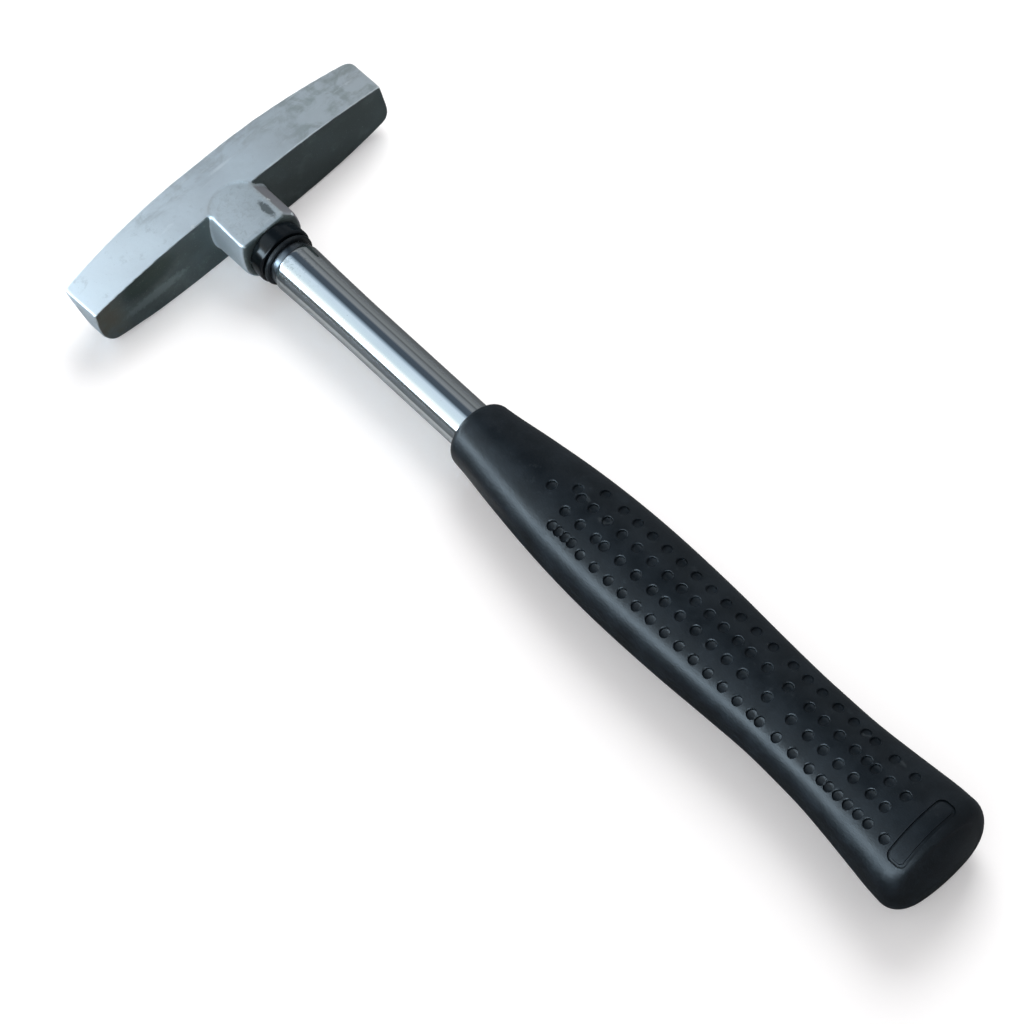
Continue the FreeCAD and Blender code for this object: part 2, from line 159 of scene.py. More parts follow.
def turned(name, profile, rounded, steps=128):
    # Spins a closed profile of (along, radius) points; rounded holds (point, radius) of its softened corners
    along, radius = profile[0]
    bpy.ops.mesh.primitive_plane_add(size=0.1, location=(along, 0, radius))
    piece = named(name)
    edit(piece)
    bpy.ops.mesh.merge(type="CENTER")
    for start, end in zip(profile, profile[1:]):
        step = (end[0] - start[0], 0, end[1] - start[1])
        bpy.ops.mesh.extrude_vertices_move(TRANSFORM_OT_translate={"value": step})
    for point, soft in rounded:
        corner = Vector((profile[point][0], 0, profile[point][1]))
        choose(lambda place: (place - corner).length < 2 * weld)
        bpy.ops.mesh.bevel(offset=soft, segments=8, affect="VERTICES")
    bpy.ops.mesh.select_all(action="SELECT")
    bpy.ops.mesh.spin(steps=steps, angle=2 * math.pi, center=(0, 0, 0), axis=(1, 0, 0))
    closeUp()
    finishEdit()
    return piece


def settle(piece, node, sharp=30.0):
    # Lays a finished piece in the frame, in the place of its plain solid
    piece.data.transform(layInMillimetres)
    activate(piece)
    bpy.ops.object.shade_smooth_by_angle(angle=math.radians(sharp))
    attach(piece, "root")
    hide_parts(node)
    print("%s: %d faces" % (piece.name, len(piece.data.polygons)))
    return piece


head = {
    "back": -13.2, "side": 4.9,              # back of the eye and handle side
    "half": 56.5, "shift": 0.7,              # half the head's length, and its middle
    "eyeHalf": 11.2, "endHalf": 7.6,         # half thickness over the eye and at the faces
    "endRise": 3.5, "flat": 9.0,             # how far the back bows in at the faces, and flat over the eye
    "lowerBow": 3.0, "draft": 0.7,           # fuller bow of the lower side, and its lean towards the handle
    "crownLength": 5, "heelTop": 0.5,        # reach of a face's crown, and a cut corner's start below the top
    "stations": 24, "endStations": (0.1, 0.35, 0.8, 1.4, 2.1, 2.9, 3.8, 4.8),
    "levels": (-0.6, -0.3, 0.0, 0.3, 0.6),   # slices through its thickness, in shares of eyeHalf
    "cornerSteps": 6, "edge": 0.55, "edgeSteps": 3,
    "voxel": 0.37, "wear": 3,                # fineness of the skin, and how often it is eased
    "hammered": (("forged", 9.0, 0.14), ("pitted", 1.3, 0.03)),       # size and depth of the unevenness
    "eye": 6.95, "sharp": 60.0,
}
# The two striking faces: corners at the back and at the handle side, the crown, how far the face is askew,
# how long and how high it rolls off below, and how far the lower back corner is cut away across and along
faces = {
    -1: {"corners": (1.3, 0.6), "crown": 0.45, "skew": 0.5, "roll": (5.0, 6.8), "heel": (8.5, 8.0)},
    1: {"corners": (2.8, 0.6), "crown": 0.25, "skew": 0.0, "roll": (2.6, 4.2), "heel": (7.0, 7.0)},
}
boss = {
    "places": (0.9, 19.8, 21.0), "tops": (11.0, 10.4, 9.5), "flats": (7.65, 8.2, 7.3),
    "halves": (11.1, 11.1, 10.2),            # section at the root, at the bevel and at the mouth
    "middle": -0.2, "flatMiddle": -1.5, "shoulder": 6.7, "shoulderIn": 0.8,
    "outlineSteps": (12, 14, 10),            # points on a flank, on a lower quarter and on the right cheek
    "seat": 8.15, "seatDepth": 8.0,          # opened out for the bush
    "spot": (9.0, 9.3, 10.9),                # flat ground round the boss's top: its middle, radius and height
    "edge": 0.45, "edgeAngle": 28.0, "holeSteps": 96,
    "crease": 2.2, "creaseEasings": 26, "creasePull": 1.6,            # the fillet between boss and head
}


def softenEdges(piece, offset, angle):
    edit(piece, "EDGE")
    bpy.ops.mesh.select_all(action="DESELECT")
    bpy.ops.mesh.edges_select_sharp(sharpness=math.radians(angle))
    bpy.ops.mesh.bevel(offset=offset, segments=3, clamp_overlap=True)
    finishEdit()


def riseOf(run, span, rise):
    # The rise of a bow that has risen so far at the end of its span
    bow = (span * span + rise * rise) / (2 * rise)
    return bow - math.sqrt(bow * bow - run * run) if run > 0 else 0.0


def bossOutline(top, flat, half):
    middle, flatMiddle = boss["middle"], boss["flatMiddle"]
    left, right = middle - half, middle + half
    flatLeft, flatRight = flatMiddle - flat, flatMiddle + flat
    shoulder, shoulderIn = boss["shoulder"], boss["shoulderIn"]
    flank = (top ** 2 + (flatLeft - left) ** 2) / (2 * (flatLeft - left))
    cheek = (shoulder ** 2 + shoulderIn ** 2) / (2 * shoulderIn)
    flankSteps, lowerSteps, cheekSteps = boss["outlineSteps"]
    return (arc((flatLeft, top), (left, 0), flank, flankSteps)
            + arc((left, 0), (middle, -half), half, lowerSteps)
            + arc((middle, -half), (right, 0), half, lowerSteps)
            + arc((right, 0), (right - shoulderIn, shoulder), cheek, cheekSteps)
            + [Vector((right - shoulderIn, shoulder)), Vector((flatRight, top))])


def forge(place):
    # Where a point of the plain block ends up in the bowed head
    x, y, z = place
    run = abs(y - head["shift"])
    outward = 1 if y > head["shift"] else -1
    face, half = faces[outward], head["half"]
    fromEnd = max(0, half - run)
    share = (x - head["back"]) / (head["side"] - head["back"])
    thinning = head["eyeHalf"] - head["endHalf"]
    if z > 0:
        thin = riseOf(run - head["flat"], half - head["flat"], thinning)
    else:
        thin = thinning * max(0, (run - head["flat"]) / (half - head["flat"])) ** head["lowerBow"]
    thick = head["eyeHalf"] - thin
    z *= thick / head["eyeHalf"]
    x += riseOf(run, half, head["endRise"]) * (1 - share)
    if z < 0:
        x -= head["draft"] * (1 - (run / half) ** 2) * z / thick * share
        long, high = face["roll"]
        if fromEnd < long:
            z *= 1 - high / thick * (1 - math.sqrt(1 - ((long - fromEnd) / long) ** 2))
    nearEnd = max(0, 1 - fromEnd / head["crownLength"])
    y -= outward * nearEnd * (face["crown"] * (z / thick) ** 2 + face["skew"] * share)
    return x, y, z


def makeHead():
    width, half = head["side"] - head["back"], head["half"]
    bpy.ops.mesh.primitive_cube_add(size=1, location=(head["back"] + width / 2, head["shift"], 0),
                                    scale=(width, 2 * half, 2 * head["eyeHalf"]))
    piece = named("head_forged")
    # round the block's corners and break its edges, then slice it and bow it
    edit(piece, "EDGE")
    for outward, face in faces.items():
        end = head["shift"] + outward * half
        for corner, side in zip(face["corners"], (head["back"], head["side"])):
            choose(lambda place: abs(place.y - end) < touch and abs(place.x - side) < touch, "edges")
            bpy.ops.mesh.bevel(offset=corner, segments=head["cornerSteps"])
    for level in (head["eyeHalf"], -head["eyeHalf"]):
        choose(lambda place: abs(place.z - level) < touch, "edges")
        bpy.ops.mesh.bevel(offset=head["edge"], segments=head["edgeSteps"])
    step = (half - head["flat"]) / head["stations"]
    runs = [head["flat"] + step * number for number in range(head["stations"] - 2)]
    runs += [half - fromEnd for fromEnd in head["endStations"]]
    for run in runs + [-run for run in runs]:
        bpy.ops.mesh.select_all(action="SELECT")
        bpy.ops.mesh.bisect(plane_co=(0, head["shift"] + run, 0), plane_no=(0, 1, 0))
    for level in head["levels"]:
        bpy.ops.mesh.select_all(action="SELECT")
        bpy.ops.mesh.bisect(plane_co=(0, 0, level * head["eyeHalf"]), plane_no=(0, 0, 1))
    finishEdit()
    for vertex in piece.data.vertices:
        vertex.co = forge(vertex.co)
    # the lower back corner of each face is cut away
    edit(piece)
    for outward, face in faces.items():
        across, along = face["heel"]
        corner = Vector((head["back"] + head["endRise"], head["shift"] + outward * half, 0))
        upper = corner + Vector((0, 0, head["endHalf"] - head["heelTop"]))
        lowerBack = corner + Vector((0, -outward * along, -head["endHalf"]))
        lowerFace = corner + Vector((across, 0, -head["endHalf"]))
        normal = (lowerBack - upper).cross(lowerFace - upper)
        bpy.ops.mesh.select_all(action="SELECT")
        bpy.ops.mesh.bisect(plane_co=upper, plane_no=normal if normal.x < 0 else -normal, clear_outer=True,
                            use_fill=True)
    finishEdit()

    # the boss is joined on, then the eye, the bush's seat and the flat round the boss's top are cut
    rings = []
    for place, top, flat, half in zip(boss["places"], boss["tops"], boss["flats"], boss["halves"]):
        rings.append([(place, *spot) for spot in bossOutline(top, flat, half)])
    stub = sleeve("boss", rings)
    softenEdges(stub, boss["edge"], boss["edgeAngle"])
    cut(piece, stub, "UNION", "EXACT")
    mouth = boss["places"][-1]
    for radius, start in ((head["eye"], head["back"] - overcut), (boss["seat"], mouth - boss["seatDepth"])):
        length = mouth + overcut - start
        bpy.ops.mesh.primitive_cylinder_add(vertices=boss["holeSteps"], radius=radius, depth=length,
                                            location=(start + length / 2, 0, 0), rotation=(0, math.pi / 2, 0))
        cut(piece, named("bore"), "DIFFERENCE", "EXACT")
    middle, radius, level = boss["spot"]
    bpy.ops.mesh.primitive_cylinder_add(vertices=boss["holeSteps"], radius=radius, depth=2 * overcut,
                                        location=(middle, boss["flatMiddle"], level + overcut))
    cut(piece, named("spot"), "DIFFERENCE", "EXACT")

    # one skin over the whole forging, its edges eased and the crease round the boss filled
    modify(piece, "REMESH", mode="VOXEL", voxel_size=head["voxel"], adaptivity=0.0)
    modify(piece, "SMOOTH", factor=0.5, iterations=head["wear"])
    outline = bossOutline(boss["tops"][0], boss["flats"][0], boss["halves"][0])
    tree = KDTree(len(outline))
    for number, spot in enumerate(outline):
        tree.insert((head["side"], *spot), number)
    tree.balance()
    crease = piece.vertex_groups.new(name="crease")
    for vertex in piece.data.vertices:
        distance = tree.find(vertex.co)[2]
        if distance < boss["crease"]:
            pull = min(1.0, boss["creasePull"] * (1 - distance / boss["crease"]))
            crease.add([vertex.index], pull, "REPLACE")
    modify(piece, "SMOOTH", factor=0.5, iterations=boss["creaseEasings"], vertex_group="crease")
    # hammered and blasted unevenness, only ever inwards
    for name, size, depth in head["hammered"]:
        swell = bpy.data.textures.new(name, "CLOUDS")
        swell.noise_scale = size
        swell.noise_depth = 3
        modify(piece, "DISPLACE", texture=swell, strength=depth, mid_level=1.0, texture_coords="LOCAL")
    return settle(piece, "head", head["sharp"])


tube = {
    "top": tubeTopPlace, "neckEnd": 28.2, "stepStart": 31.0, "swell": 32.0, "straight": 51.8, "foot": 285.8,
    "neck": 6.9, "rise": 7.45, "riseLength": 0.3, "step": 7.6, "shoulder": 8.02, "outer": 7.5, "wall": 1.2,
    "rounds": ((2, 0.12), (3, 0.3), (4, 0.5), (5, 9.0), (6, 0.25)), "steps": 160,
}


def makeTube():
    wall = tube["wall"]
    outside = [
        (tube["top"], tube["neck"]), (tube["neckEnd"], tube["neck"]),
        (tube["neckEnd"] + tube["riseLength"], tube["rise"]), (tube["stepStart"], tube["step"]),
        (tube["swell"], tube["shoulder"]), (tube["straight"], tube["outer"]), (tube["foot"], tube["outer"]),
    ]
    inside = [(place, radius - wall) for place, radius in reversed(outside)]
    profile = outside + inside + outside[:1]
    piece = turned("bright_tube", profile, tube["rounds"], tube["steps"])
    return settle(piece, "handle_tube")


bush = {
    "seat": 13.0, "mouth": 21.05, "end": 26.3, "inner": 6.95, "spigot": 8.1, "flange": 9.35,
    "rounds": ((1, 0.35), (2, 0.9), (3, 0.4)),
}


def makeBush():
    profile = [
        (bush["seat"], bush["inner"]), (bush["end"], bush["inner"]), (bush["end"], bush["flange"]),
        (bush["mouth"], bush["flange"]), (bush["mouth"], bush["spigot"]), (bush["seat"], bush["spigot"]),
        (bush["seat"], bush["inner"]),
    ]
    return settle(turned("neck_collar", profile, bush["rounds"]), "neck_bush")


ring = {"start": 27.0, "end": 28.3, "inner": 6.95, "outer": 8.75, "crown": 0.45}


def makeRing():
    profile = [
        (ring["start"], ring["inner"]), (ring["end"], ring["inner"]), (ring["end"], ring["outer"]),
        (ring["start"], ring["outer"]), (ring["start"], ring["inner"]),
    ]
    crown = (ring["end"] - ring["start"]) * ring["crown"]
    return settle(turned("neck_seal", profile, [(2, crown), (3, crown)]), "neck_ring")


grip = {
    "start": 114.2, "buttEdge": 303.7, "bore": 7.55, "boreEnd": 288.8,
    "nose": 21.6, "belly": 33.3, "waist": 29.8, "butt": 37.1, "lean": -1.4,
    "noseRound": 3.2, "buttRound": 5.3, "buttDome": 2.25, "station": 1.6, "endTurns": 10, "domeRings": 12,
    "mouthFlare": 0.3, "mouthRings": (1.0, 0.25),     # the bore's flare at the nose, and its rings' depths
    "outlineSteps": (8, 11, 22),                      # points on a flank, a corner and the top
    "sharp": 32.0,
}
# Shares of the width: where flank meets corner, where corner meets top, and the radii of the three arcs
roundOutline = (0.476, 0.155, 0.280, 0.414, 0.500, 0.500, 0.500)
flatOutline = (0.476, 0.153, 0.251, 0.366, 0.500, 0.332, 0.889)
# How far along the grip, between which widths and how far from the one to the other, how flat, how much lean
gripShares = [
    (0.000, "nose", "belly", 0.00, 0.00, 0.00), (0.027, "nose", "belly", 0.09, 0.12, 0.00),
    (0.097, "nose", "belly", 0.39, 0.44, 0.00), (0.200, "nose", "belly", 0.75, 0.84, 0.00),
    (0.300, "nose", "belly", 0.95, 1.00, 0.00), (0.390, "nose", "belly", 1.00, 1.00, 0.00),
    (0.500, "belly", "waist", 0.21, 1.00, 0.00), (0.600, "belly", "waist", 0.68, 1.00, 0.00),
    (0.686, "belly", "waist", 1.00, 1.00, 0.00), (0.750, "waist", "butt", 0.03, 1.00, 0.13),
    (0.810, "waist", "butt", 0.13, 1.00, 0.30), (0.870, "waist", "butt", 0.39, 1.00, 0.50),
    (0.930, "waist", "butt", 0.71, 1.00, 0.72), (0.970, "waist", "butt", 0.92, 1.00, 0.88),
    (1.000, "waist", "butt", 1.00, 1.00, 1.00),
]
gripTable = [(share, grip[first] + (grip[second] - grip[first]) * blend, flatness, lean)
             for share, first, second, blend, flatness, lean in gripShares]


def gripAt(share):
    # Width, flatness and lean at a share of the grip's length, on a smooth curve through the table
    share = min(max(share, 0.0), 1.0)
    spot = next(number for number in range(len(gripTable) - 1) if share <= gripTable[number + 1][0])
    near = [gripTable[min(max(number, 0), len(gripTable) - 1)] for number in range(spot - 1, spot + 3)]
    span = near[2][0] - near[1][0]
    along = (share - near[1][0]) / span
    values = []
    for kind in (1, 2, 3):
        slopes = []
        for number in (1, 2):
            reach = near[number + 1][0] - near[number - 1][0]
            slopes.append((near[number + 1][kind] - near[number - 1][kind]) / reach * span)
        cubed, squared = along ** 3, along ** 2
        values.append((2 * cubed - 3 * squared + 1) * near[1][kind]
                      + (cubed - 2 * squared + along) * slopes[0]
                      + (3 * squared - 2 * cubed) * near[2][kind] + (cubed - squared) * slopes[1])
    return values


def gripRing(place, width, flatness, lean):
    blend = [(soft + (flat - soft) * flatness) * width for soft, flat in zip(roundOutline, flatOutline)]
    flankY, flankZ, topY, topZ, flankBend, cornerBend, topBend = blend
    flankSteps, cornerSteps, topSteps = grip["outlineSteps"]
    outline = [
        ((flankY, -flankZ), flankBend, flankSteps), ((flankY, flankZ), cornerBend, cornerSteps),
        ((topY, topZ), topBend, topSteps), ((-topY, topZ), cornerBend, cornerSteps),
        ((-flankY, flankZ), flankBend, flankSteps), ((-flankY, -flankZ), cornerBend, cornerSteps),
        ((-topY, -topZ), topBend, topSteps), ((topY, -topZ), cornerBend, cornerSteps),
    ]
    spots = []
    for number, (start, radius, steps) in enumerate(outline):
        spots += arc(start, outline[(number + 1) % len(outline)][0], radius, steps)
    return [(place, grip["lean"] * lean + spot.x, spot.y) for spot in spots]


def gripSkin(name, shrink=0.0):
    start, edge, turns = grip["start"] + grip["noseRound"], grip["buttEdge"], grip["endTurns"]
    width, flatness, lean = gripAt(0)
    sections = []
    for turn in range(turns, 0, -1):
        angle = math.pi / 2 * turn / turns
        sections.append((start - grip["noseRound"] * math.sin(angle),
                         width - 2 * grip["noseRound"] * (1 - math.cos(angle)), flatness, lean))
    count = round((edge - start) / grip["station"])
    for number in range(count + 1):
        share = number / count
        sections.append((start + (edge - start) * share, *gripAt(share)))
    width, flatness, lean = gripAt(1)
    for turn in range(1, turns + 1):
        angle = math.pi / 2 * turn / turns
        sections.append((edge + grip["buttRound"] * math.sin(angle),
                         width - 2 * grip["buttRound"] * (1 - math.cos(angle)), flatness, lean))
    faceWidth = width - 2 * grip["buttRound"]
    for step in range(1, grip["domeRings"]):
        share = 1 - step / grip["domeRings"]
        sections.append((edge + grip["buttRound"] + grip["buttDome"] * (1 - share ** 2), faceWidth * share,
                         flatness, lean))
    rings = [gripRing(place, wide - 2 * shrink, flat, bend) for place, wide, flat, bend in sections]
    # the bore comes first, its points at the same angles as the nose's
    angles = [math.atan2(z, y) for _, y, z in rings[0]]
    places = [grip["boreEnd"]] + [grip["start"] + depth for depth in grip["mouthRings"]]
    bore = [[(place, grip["bore"] * math.cos(angle), grip["bore"] * math.sin(angle)) for angle in angles]
            for place in places]
    wide = grip["bore"] + grip["mouthFlare"]
    mouth = [(grip["start"], wide * math.cos(angle), wide * math.sin(angle)) for angle in angles]
    return sleeve(name, (bore + [mouth] if shrink == 0 else []) + rings)


dimples = {
    # rows by their place across, each in runs: the first place along, how many, and the pitch between them
    "rows": (
        (0.0, ((151.4, 1, 0),)),
        (4.5, ((157.7, 1, 0),)),
        (-8.4, ((160.7, 4, 2.8),)),
        (-9.2, ((173.7, 2, 6.0), (185.7, 10, 5.87), (244.3, 2, 3.2), (254.3, 3, 6.7),
                (272.7, 2, 2.9), (279.3, 4, 4.15), (298.3, 1, 0))),
        (-3.1, ((160.6, 3, 6.6), (177.4, 4, 6.75), (202.9, 6, 6.3), (244.3, 2, 9.7),
                (260.9, 4, 6.15), (286.3, 2, 5.7))),
        (3.0, ((160.9, 2, 5.0), (171.9, 5, 6.35), (203.1, 5, 5.75), (231.2, 2, 6.7), (246.3, 2, 8.6),
               (260.7, 3, 6.3), (278.1, 2, 3.6), (287.3, 2, 6.4))),
        (8.9, ((164.2, 1, 0), (172.1, 10, 6.1), (233.8, 2, 8.0), (247.7, 1, 0), (253.5, 3, 6.4),
               (271.2, 2, 3.7), (282.8, 2, 8.1))),
    ),
    "radius": 1.6, "depth": 0.95, "lip": 0.22, "steps": 20,
    "top": 1.6, "lipTop": 0.02,                           # the cutter's and its lip's height over the skin
    "bowl": ((0.45, 0.985), (0.30, 0.90), (0.17, 0.72), (0.08, 0.45)),    # shares of depth, and narrowing
    "follow": 0.6,                                        # how far they turn with the surface
    "castFrom": 40,                                       # the height from which the skin is looked for
}
panel = {
    "place": (304.0, -2.4, 18), "long": 22.5, "wide": 6.2, "height": 20, "corner": 2.2, "cornerSteps": 8,
    "line": 0.9, "depth": 0.6, "turn": 3.0,
}


def makeCup():
    # One dimple's cutter: a round cup with a soft bottom and a flared lip
    radius, depth, lip = dimples["radius"], dimples["depth"], dimples["lip"]
    bpy.ops.mesh.primitive_circle_add(vertices=dimples["steps"], radius=radius + lip, fill_type="NGON",
                                      location=(0, 0, dimples["top"]))
    cup = named("cup")
    edit(cup, "FACE")
    drops = [(dimples["top"] - dimples["lipTop"], 1.0), (lip, radius / (radius + lip))]
    drops += [(depth * share, shrink) for share, shrink in dimples["bowl"]]
    for drop, shrink in drops:
        bpy.ops.mesh.extrude_region_move(TRANSFORM_OT_translate={"value": (0, 0, -drop)})
        bpy.ops.transform.resize(value=(shrink, shrink, 1))
    bpy.ops.mesh.select_mode(type="EDGE")
    bpy.ops.mesh.select_non_manifold()
    bpy.ops.mesh.edge_face_add()
    closeUp()
    finishEdit()
    return cup


def dimpleSpots():
    for across, runs in dimples["rows"]:
        for first, count, pitch in runs:
            for number in range(count):
                yield first + pitch * number, across


def panelBlock(inset):
    # An upright block with rounded corners; a smaller one cut from a larger leaves the frame
    size = (panel["wide"] - 2 * inset, panel["long"] - 2 * inset, panel["height"])
    bpy.ops.mesh.primitive_cube_add(size=1, location=panel["place"], scale=size,
                                    rotation=(0, 0, math.radians(panel["turn"])))
    block = named("panel")
    edit(block, "EDGE")
    bpy.ops.mesh.select_all(action="DESELECT")
    shape = bmesh.from_edit_mesh(block.data)
    for side in shape.edges:
        side.select_set(abs(side.verts[0].co.z - side.verts[1].co.z) > 1)
    bmesh.update_edit_mesh(block.data)
    bpy.ops.mesh.bevel(offset=panel["corner"] - inset, segments=panel["cornerSteps"])
    finishEdit()
    return block


def makeGrip():
    piece = gripSkin("rubber_grip")
    cup = makeCup()
    cups = []
    for side in (1, -1):
        for along, across in dimpleSpots():
            lean = grip["lean"] * gripAt((along - grip["start"]) / (grip["buttEdge"] - grip["start"]))[2]
            start = (along, across + lean, dimples["castFrom"] * side)
            hit, place, normal, _ = piece.ray_cast(start, (0, 0, -side))
            if not hit:
                continue
            facing = Vector((0, 0, side)).lerp(normal, dimples["follow"])
            copy = cup.copy()
            copy.data = cup.data.copy()
            upright = facing.to_track_quat("Z", "Y").to_matrix().to_4x4()
            copy.data.transform(Matrix.Translation(place) @ upright)
            bpy.context.scene.collection.objects.link(copy)
            cups.append(copy)
    bpy.data.objects.remove(cup)
    # the plain frame of a label field across the butt end of the upper side
    field = panelBlock(0)
    cut(field, panelBlock(panel["line"]))
    cut(field, gripSkin("inner", panel["depth"]))
    cut(piece, field)
    activate(cups[0])
    for copy in cups:
        copy.select_set(True)
    bpy.ops.object.join()
    cut(piece, cups[0])
    edit(piece)
    closeUp()
    finishEdit()
    return settle(piece, "grip", grip["sharp"])


class Socket:
    # An output of a shader node, so that sums of masks can be written as they are said
    def __init__(self, tree, socket):
        self.tree = tree
        self.socket = socket

    def math(self, operation, *values):
        return self.tree.node("ShaderNodeMath", {"operation": operation}, list(values))

    def __add__(self, other):
        return self.math("ADD", self, other)

    def __radd__(self, other):
        return self.math("ADD", other, self)

    def __sub__(self, other):
        return self.math("SUBTRACT", self, other)

    def __rsub__(self, other):
        return self.math("SUBTRACT", other, self)

    def __mul__(self, other):
        return self.math("MULTIPLY", self, other)

    def __rmul__(self, other):
        return self.math("MULTIPLY", other, self)

    def __truediv__(self, other):
        return self.math("DIVIDE", self, other)


class Tree:
    # A node tree in which a node is made by its type, settings and values
    def __init__(self, tree):
        self.nodes = tree.nodes
        self.links = tree.links

    def plug(self, socket, value):
        if isinstance(value, Socket):
            self.links.new(value.socket, socket)
        elif isinstance(value, tuple) and len(value) == 3 and socket.type == "RGBA":
            socket.default_value = (*value, 1)
        else:
            socket.default_value = value

    def node(self, kind, settings=None, values=None, output=0):
        made = self.nodes.new(kind)
        for name, setting in (settings or {}).items():
            if name == "stops":
                ramp = made.color_ramp
                while len(ramp.elements) < len(setting):
                    ramp.elements.new(0.5)
                for element, (place, shade) in zip(ramp.elements, setting):
                    element.position = place
                    element.color = (*shade, 1)
            else:
                setattr(made, name, setting)
        pairs = values.items() if isinstance(values, dict) else enumerate(values or [])
        for key, value in pairs:
            self.plug(made.inputs[key], value)
        return Socket(self, made.outputs[output])

    def ramp(self, value, *stops):
        return self.node("ShaderNodeValToRGB", {"stops": stops}, [value])

    def ease(self, value, low, high, start=0.0, end=1.0):
        # From start to end, softly, as the value goes from low to high
        return self.node("ShaderNodeMapRange", {"interpolation_type": "SMOOTHSTEP"},
                         [value, low, high, start, end])


class Material(Tree):
    # A material with one Principled shader, and patterns in millimetres on the piece's own coordinates
    def __init__(self, name, **constants):
        self.material = bpy.data.materials.new(name)
        self.material.use_nodes = True
        super().__init__(self.material.node_tree)
        self.shader = self.nodes["Principled BSDF"]
        self.feed(**constants)
        self.place = self.node("ShaderNodeTexCoord", output=3)

    def feed(self, **values):
        for name, value in values.items():
            self.plug(self.shader.inputs[name.replace("_", " ")], value)

    def stretched(self, x, y, z):
        return self.node("ShaderNodeMapping", None, {"Vector": self.place, "Scale": (x, y, z)})

    def noise(self, size, detail=4.0, roughness=0.55, vector=None, distortion=0.0):
        # Cloudy noise whose features are about so many millimetres across
        return self.node("ShaderNodeTexNoise", None, {
            "Vector": vector or self.place, "Scale": 1 / (size * mm), "Detail": detail,
            "Roughness": roughness, "Distortion": distortion})

    def over(self, coordinate, start, end):
        # From 0 to 1, softly, as a coordinate goes from one place to another
        return self.ease(coordinate, start * mm, end * mm)

    def ellipse(self, middle, radii):
        # Distance from the middle of an ellipse, 1 at its rim; a radius of 1000 leaves that way out
        middle, radii = (tuple(part * mm for part in values) for values in (middle, radii))
        scaled = self.node("ShaderNodeVectorMath", {"operation": "SUBTRACT"}, [self.place, middle])
        scaled = self.node("ShaderNodeVectorMath", {"operation": "DIVIDE"}, [scaled, radii])
        return self.node("ShaderNodeVectorMath", {"operation": "LENGTH"}, [scaled], output=1)

    def parts(self, vector):
        return [self.node("ShaderNodeSeparateXYZ", None, [vector], output=number) for number in range(3)]

    def mix(self, factor, first, second):
        return self.node("ShaderNodeMix", {"data_type": "RGBA"}, {0: factor, 6: first, 7: second}, output=2)

    def bump(self, height, distance):
        values = {"Height": height, "Distance": distance * mm, "Strength": 1.0}
        return self.node("ShaderNodeBump", None, values)


def assign(piece, made):
    piece.data.materials.clear()
    piece.data.materials.append(made.material)


steelLook = {
    "light": (0.62, 0.70, 0.75), "pale": (0.82, 0.89, 0.93), "smear": (0.43, 0.48, 0.50),
    "stain": (0.33, 0.38, 0.39), "pitShade": (0.10, 0.12, 0.125), "worn": (0.85, 0.91, 0.93),
    "scaleAndShade": (0.105, 0.130, 0.130), "oxidePale": (0.20, 0.24, 0.24), "shadowedScale": (0.055, 0.075, 0.066),
    "brown": (0.150, 0.140, 0.110), "flank": (0.30, 0.29, 0.32),
    "metallic": 0.75, "roughness": (0.42, 0.56), "wornShine": 0.15, "relief": 0.03,
}
# Where the marks on the head begin and end along X or Y, or an oval's middle and radii, in millimetres
steelMarks = {
    "paintedLightLeft": (10, -50), "smearedBack": (-153, -158), "smearedRight": (-36, -22),
    "paintedShadeRight": (6, 28), "stainedRight": (14, 32),
    "streak": ((-155.7, 2.9, 11), (0.9, 5.6, 1000)),
    "flat": ((-140.2, -2.2, 11), (9.4, 9.4, 1000)), "flatFront": (-143.4, -144.4), "flatDuller": (-5, 4),
    "pitShade": ((-133.4, 3.5, 11), (3.9, 1.25, 1000)),
    "shadowOnSide": ((0, -36, 17), (1000, 13, 6)), "scraped": ((0, -35, 8.6), (1000, 13.5, 2.1)),
    "paleScale": (-42, -52), "brownScale": (-44, -51),
    "shadedFlank": (-143.5, -142.5), "brightEdge": (8, 14),
}


